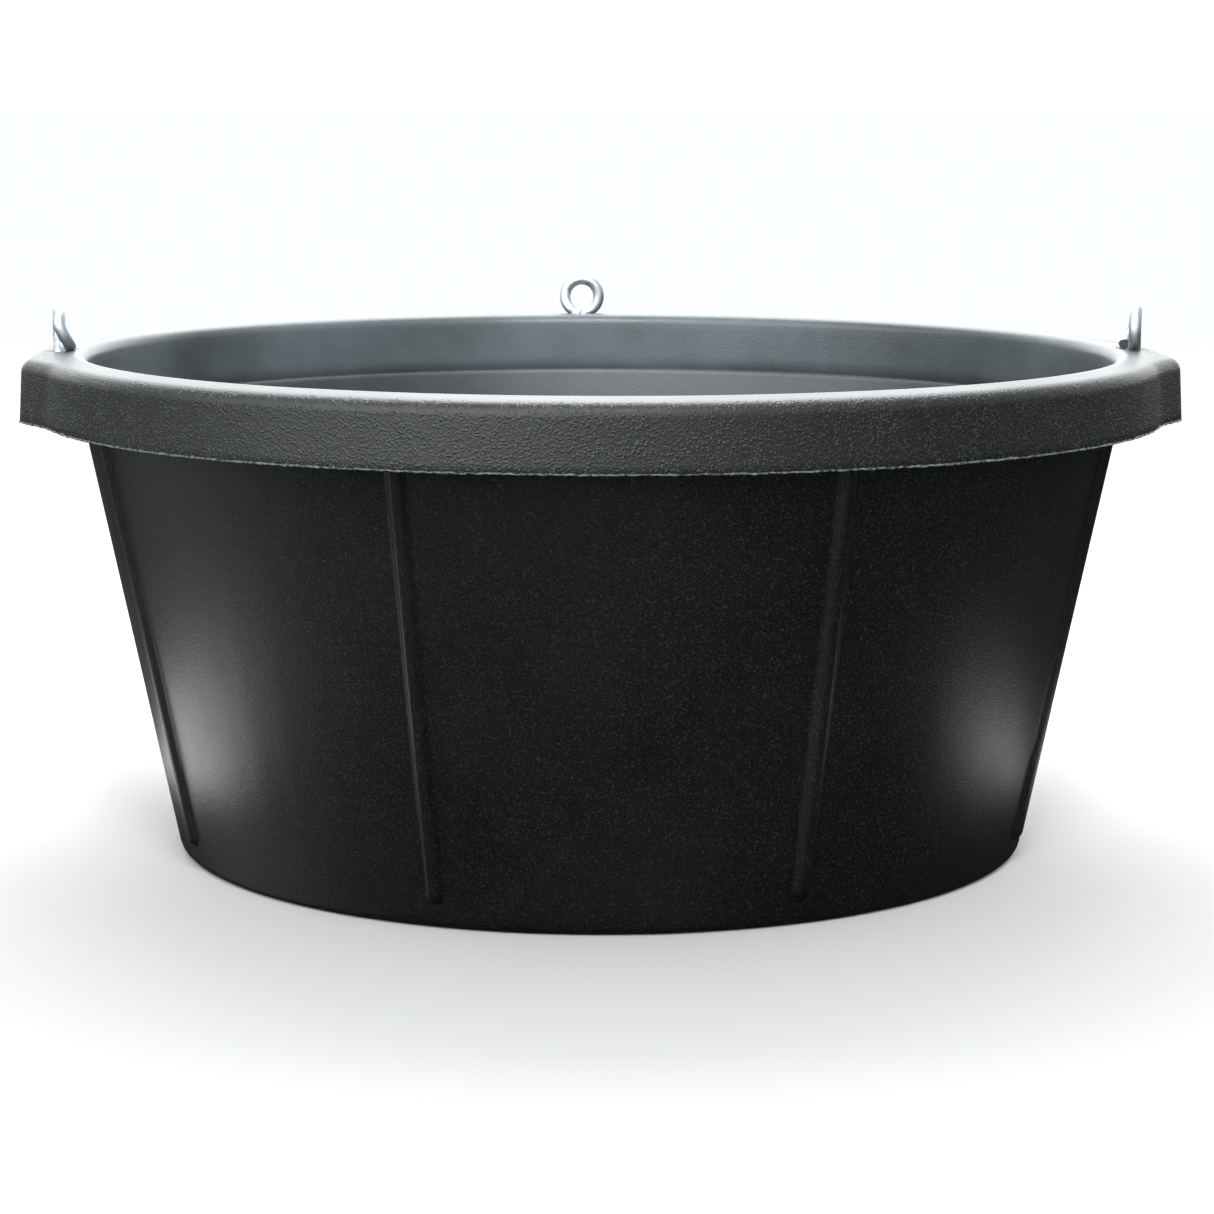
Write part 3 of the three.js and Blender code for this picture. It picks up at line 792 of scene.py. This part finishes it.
def swept_wire():
    sockets = {"Geometry": "Geometry", "Wire radius": "Float"}
    sockets = {**sockets, "Thread length": "Float", "Finish": "Material"}
    tree, given = new_tree("swept wire", sockets, {"Geometry": "Geometry"})
    along = add(tree, "GeometryNodeSplineParameter").outputs["Length"]
    path = {"Geometry": given["Geometry"], "Name": "along", "Value": along}
    path = add(tree, "GeometryNodeStoreNamedAttribute", path)
    profile = {"Resolution": WIRE_SIDES, "Radius": given["Wire radius"]}
    profile = add(tree, "GeometryNodeCurvePrimitiveCircle", profile)
    turn = add(tree, "GeometryNodeSplineParameter").outputs["Factor"]
    profile = {"Geometry": profile, "Name": "turn", "Value": turn}
    profile = add(tree, "GeometryNodeStoreNamedAttribute", profile)
    bar = {"Curve": path, "Profile Curve": profile, "Fill Caps": True}
    bar = add(tree, "GeometryNodeCurveToMesh", bar)

    # thread: a triangle wave that climbs one pitch for each turn, cut into the shank
    reached = {"Name": "along"}
    reached = add(tree, "GeometryNodeInputNamedAttribute", reached, data_type="FLOAT")
    turned = {"Name": "turn"}
    turned = add(tree, "GeometryNodeInputNamedAttribute", turned, data_type="FLOAT")
    pitches = add(tree, "ShaderNodeMath", {0: reached, 1: THREAD_PITCH * MM}, operation="DIVIDE")
    phase = add(tree, "ShaderNodeMath", {0: pitches, 1: turned}, operation="ADD")
    wave = add(tree, "ShaderNodeMath", {0: phase, 1: 0.5}, operation="PINGPONG")
    groove = {0: wave, 1: -2 * THREAD_DEPTH * MM}
    groove = add(tree, "ShaderNodeMath", groove, operation="MULTIPLY")
    ends = {"Value": reached, "From Min": given["Thread length"], "To Min": 1.0, "To Max": 0.0}
    ends = {**ends, "From Max": (THREAD_LENGTH + RUN_OUT) * MM}
    ends = add(tree, "ShaderNodeMapRange", ends)
    groove = add(tree, "ShaderNodeMath", {0: groove, 1: ends}, operation="MULTIPLY")
    lead_in = {"Value": reached, "From Max": LEAD_IN * MM}
    lead_in = {**lead_in, "To Min": -LEAD_IN_DEPTH * MM, "To Max": 0.0}
    lead_in = add(tree, "ShaderNodeMapRange", lead_in)
    depth = add(tree, "ShaderNodeMath", {0: groove, 1: lead_in}, operation="ADD")
    out = add(tree, "GeometryNodeInputNormal")
    shift = add(tree, "ShaderNodeVectorMath", {0: out, 3: depth}, operation="SCALE")
    bar = add(tree, "GeometryNodeSetPosition", {"Geometry": bar, "Offset": shift})
    finish_shape(tree, bar, given["Finish"], WIRE_CREASE)
    return tree


WIRE_TREE = swept_wire()
print("the thread has a pitch of", THREAD_PITCH, "mm")

# %% [markdown]
# ## Standing pieces at each eye
# A bolt and what is screwed to it are modelled once about their own axis and then stood at
# each place on the rim. The place goes into the mesh and the object stays at the origin, as an
# exported piece needs.

# %% Placing helper
def stand(piece, side):
    azimuth, out = EYES[side], EYE_OFFSET * MM
    spot = (out * math.cos(azimuth), out * math.sin(azimuth), RIM_TOP * MM)
    turn = Matrix.Rotation(azimuth - math.pi / 2 + RING_TURNS[side], 4, "Z")
    piece.data.transform(Matrix.Translation(spot) @ turn)
    return piece


WIRE_VALUES = {"Wire radius": WIRE * MM, "Thread length": THREAD_LENGTH * MM, "Finish": ZINC}
for side in EYES:
    bolt = make_plain(path_object(wire_path()), WIRE_TREE, WIRE_VALUES, f"bent_eye_{side}")
    bolt = stand(bolt, side)
    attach(bolt, f"eye_{side}")
    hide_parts(f"eye_bolt_{side}")

# %% [markdown]
# ## Washers, lock nuts and nylon rings
# These are small turned or pressed pieces. Each is a closed section swept round the bolt, with
# rounded or chamfered edges. A nut's section changes as it goes round: the radius follows a
# hexagon, and the chamfer falls away more at the corners, which gives the curved lines that
# every machined nut has.

# %% Small hardware
AROUND, HARDWARE_CREASE = 72, math.radians(35)
GAP = 0.3  # the pieces stand this far apart, so that none touches its neighbour
WASHER_OUT, WASHER_IN, WASHER_THICK = 6.25, 3.25, 1.6
NUT_FLATS, NUT_HEX, NUT_COLLAR, NUT_BORE = 10.0, 4.0, 2.0, 3.1
RING_OUT, RING_HIGH = 4.0, 1.6
WASHER_TOP = -BOSS_DEPTH - GAP
NUT_TOP = WASHER_TOP - WASHER_THICK - GAP
HEX_LOW = NUT_TOP - NUT_HEX
NUT_LOW = HEX_LOW - NUT_COLLAR


def hexagon(turn):
    return NUT_FLATS / 2 / math.cos((turn + math.pi / 6) % (math.pi / 3) - math.pi / 6)


def swept_round(name, section, material):
    """Skins a closed section, given for each angle as (radius, height) points, into one ring."""
    turns = [2 * math.pi * i / AROUND for i in range(AROUND)]
    rows = [section(turn) for turn in turns]
    points = [
        (r * MM * math.cos(turn), r * MM * math.sin(turn), z * MM)
        for turn, row in zip(turns, rows)
        for r, z in row
    ]
    n = len(rows[0])
    faces = []
    for i in range(AROUND):
        here, there = i * n, (i + 1) % AROUND * n
        nexts = [(j + 1) % n for j in range(n)]
        faces += [(here + j, there + j, there + k, here + k) for j, k in enumerate(nexts)]
    mesh = bpy.data.meshes.new(name)
    mesh.from_pydata(points, [], faces)
    mesh.materials.append(material)
    mesh.shade_smooth()
    mesh.set_sharp_from_angle(angle=HARDWARE_CREASE)
    piece = bpy.data.objects.new(name, mesh)
    bpy.context.scene.collection.objects.link(piece)
    return piece


def washer_section(turn):
    """The same all the way round: rounded outer edges, and a small chamfer inside."""
    low, high, edge, chamfer = WASHER_TOP - WASHER_THICK, WASHER_TOP, 0.35, 0.2
    bottom = arc(WASHER_OUT - edge, low + edge, edge, -90, 0, 3)
    top = arc(WASHER_OUT - edge, high - edge, edge, 0, 90, 3)
    mouth = WASHER_IN + 0.15
    bore = [(mouth, high), (WASHER_IN, high - chamfer), (WASHER_IN, low + chamfer)]
    return [(mouth, low)] + bottom + top + bore


def nut_section(turn):
    """A hexagon with chamfered ends, on a round collar with a pocket for the nylon ring."""
    hexed, face = hexagon(turn), NUT_FLATS / 2 - 0.12
    fall = (hexed - face) * math.tan(math.radians(30))
    collar, pocket, edge = RING_OUT + GAP + 0.7, RING_OUT + GAP, 0.6
    lip = [(pocket - 0.55, NUT_LOW + 0.25), (pocket - 0.2, NUT_LOW)]
    lip += arc(collar - edge, NUT_LOW + edge, edge, -90, 0, 4)
    sides = [(collar, HEX_LOW - 0.1), (face, HEX_LOW), (hexed, HEX_LOW + fall)]
    sides += [(hexed, NUT_TOP - fall), (face, NUT_TOP)]
    bore = [(NUT_BORE + 0.45, NUT_TOP), (NUT_BORE, NUT_TOP - 0.5), (NUT_BORE, HEX_LOW)]
    return lip + sides + bore + [(pocket, HEX_LOW), (pocket, NUT_LOW + 0.5)]


def ring_section(turn):
    """The same all the way round, with its two lower edges rounded."""
    high, edge = HEX_LOW - GAP, 0.3
    low, inner = high - RING_HIGH, NUT_BORE + 0.05
    section = arc(inner + edge, low + edge, edge, 180, 270, 2)
    section += arc(RING_OUT - edge, low + edge, edge, -90, 0, 2)
    return section + [(RING_OUT, high), (inner, high)]


for side in EYES:
    for name, section, material, body, node, slot in (
        ("flat_washer", washer_section, ZINC, "pan", "washer", "zinc_plate"),
        ("hex_lock_nut", nut_section, ZINC, f"eye_{side}", "lock_nut", "zinc_plate"),
        ("nylon_lock_ring", ring_section, NYLON, f"eye_{side}", "nylon_ring", "nylon"),
    ):
        piece = stand(swept_round(f"{name}_{side}", section, material), side)
        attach(piece, body)
        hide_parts(f"{node}_{side}")
print("hardware at", ", ".join(EYES))

# %% [markdown]
# ## Studio
# The floor is plain and pale, and bright enough to be white. Black rubber would mirror such a
# floor, so the floor is kept out of reflections. What the rubber mirrors instead is the world,
# which is dark below the horizon and bright above it, as in a lit room with a dark floor, with
# a few soft patches of light in it. A wide soft light hangs above and behind the pan, which
# draws the bright line along the crest of the rim, and a narrow one reaches into the bowl. Two
# small cards beside the foot face upwards and lay a faint sheen on the sides of the wall.

# %% Floor
HALF_FLOOR = 60.0
FLOOR_COLOUR = "#F2F2F1"


def make_floor():
    mesh = bpy.data.meshes.new("floor")
    size = HALF_FLOOR
    corners = [(-size, -size, 0), (size, -size, 0), (size, size, 0), (-size, size, 0)]
    mesh.from_pydata(corners, [], [(0, 1, 2, 3)])
    looks = {"Roughness": 1.0, "Specular_IOR_Level": 0.0}
    material, _, shader = new_material("pale_floor", **looks)
    shader.inputs["Base Color"].default_value = colour(FLOOR_COLOUR)
    mesh.materials.append(material)
    floor = bpy.data.objects.new("floor", mesh)
    floor.visible_glossy = False
    bpy.context.scene.collection.objects.link(floor)


make_floor()
print("the floor is", 2 * HALF_FLOOR, "m across")


# %% Lights
def make_light(name, place, aim, size, watts, spread=180):
    """An area light that the camera doesn't see. Its spread, in degrees, narrows its beam."""
    data = bpy.data.lights.new(name, "AREA")
    data.shape, data.size, data.size_y = "RECTANGLE", size[0], size[1]
    data.energy, data.spread = watts, math.radians(spread)
    light = bpy.data.objects.new(name, data)
    light.visible_camera = False
    light.location = place
    light.rotation_euler = (Vector(aim) - Vector(place)).to_track_quat("-Z", "Y").to_euler()
    bpy.context.scene.collection.objects.link(light)


make_light("overhead", (0, 0.9, 1.7), (0, 0, 0.2), (1.6, 0.8), 16.0)
make_light("into_the_bowl", (0, -1.1, 1.5), (0, 0.2, 0.22), (0.8, 0.4), 1.3, spread=30)
make_light("left_card", (-0.335, 0, 0.004), (-0.335, 0, 1), (0.14, 0.22), 0.26)
make_light("right_card", (0.32, -0.06, 0.004), (0.32, -0.06, 1), (0.09, 0.14), 0.07)

# %% World
ROOM_LEVEL, ROOM_COLOUR = 1.14, "#FBFDFF"
DARK_FLOOR, BRIGHT_WALLS = 0.02, 0.72  # what reflections see below and above the horizon

# soft patches of light that only reflections see: direction, brightness, and width as a cosine
PATCHES = (
    ((0.0, 1.0, 0.18), 2.6, 0.60),  # behind, mirrored at a glancing angle by the crest
    ((0.0, 0.5, 0.87), 5.0, 0.78),  # overhead, mirrored by every rounded upper edge
    ((-0.75, -0.66, 0.25), 3.7, 0.66),  # front left, mirrored by the rim's face
    ((0.0, -1.0, 0.25), 1.8, 0.76),  # in front, mirrored by the middle of the rim
    ((-0.87, 0.33, -0.38), 0.35, 0.86),  # low on the left, mirrored by the wall
)


def make_world():
    world = bpy.data.worlds.new("studio")
    world.use_nodes = True
    world.cycles.sampling_method = "NONE"
    tree = world.node_tree
    shader = tree.nodes["Background"]
    ray = add(tree, "ShaderNodeLightPath").outputs
    way = add(tree, "ShaderNodeTexCoord").outputs["Generated"]
    up = add(tree, "ShaderNodeSeparateXYZ", {0: way}).outputs["Z"]
    horizon = {"Value": up, "From Min": -0.06, "From Max": 0.06}
    horizon = add(tree, "ShaderNodeMapRange", horizon, interpolation_type="SMOOTHSTEP")
    mirrored = {"Value": up, "From Min": -0.05, "From Max": 0.15}
    mirrored = {**mirrored, "To Min": DARK_FLOOR, "To Max": BRIGHT_WALLS}
    mirrored = add(tree, "ShaderNodeMapRange", mirrored, interpolation_type="SMOOTHSTEP")
    for toward, brightness, width in PATCHES:
        near = {0: way, 1: Vector(toward).normalized()}
        near = add(tree, "ShaderNodeVectorMath", near, operation="DOT_PRODUCT").outputs["Value"]
        glow = {"Value": near, "From Min": width, "To Max": brightness}
        glow = add(tree, "ShaderNodeMapRange", glow, interpolation_type="SMOOTHSTEP")
        if toward[2] > 0:
            glow = add(tree, "ShaderNodeMath", {0: glow, 1: horizon}, operation="MULTIPLY")
        mirrored = add(tree, "ShaderNodeMath", {0: mirrored, 1: glow}, operation="ADD")
    level = {0: ray["Is Glossy Ray"], 2: ROOM_LEVEL, 3: mirrored}
    level = add(tree, "ShaderNodeMix", level, data_type="FLOAT")
    tree.links.new(level.outputs[0], shader.inputs["Strength"])
    shader.inputs["Color"].default_value = colour(ROOM_COLOUR)
    bpy.context.scene.world = world


make_world()
bpy.context.scene.view_settings.view_transform = "Standard"
print("patches of light in reflections:", len(PATCHES))
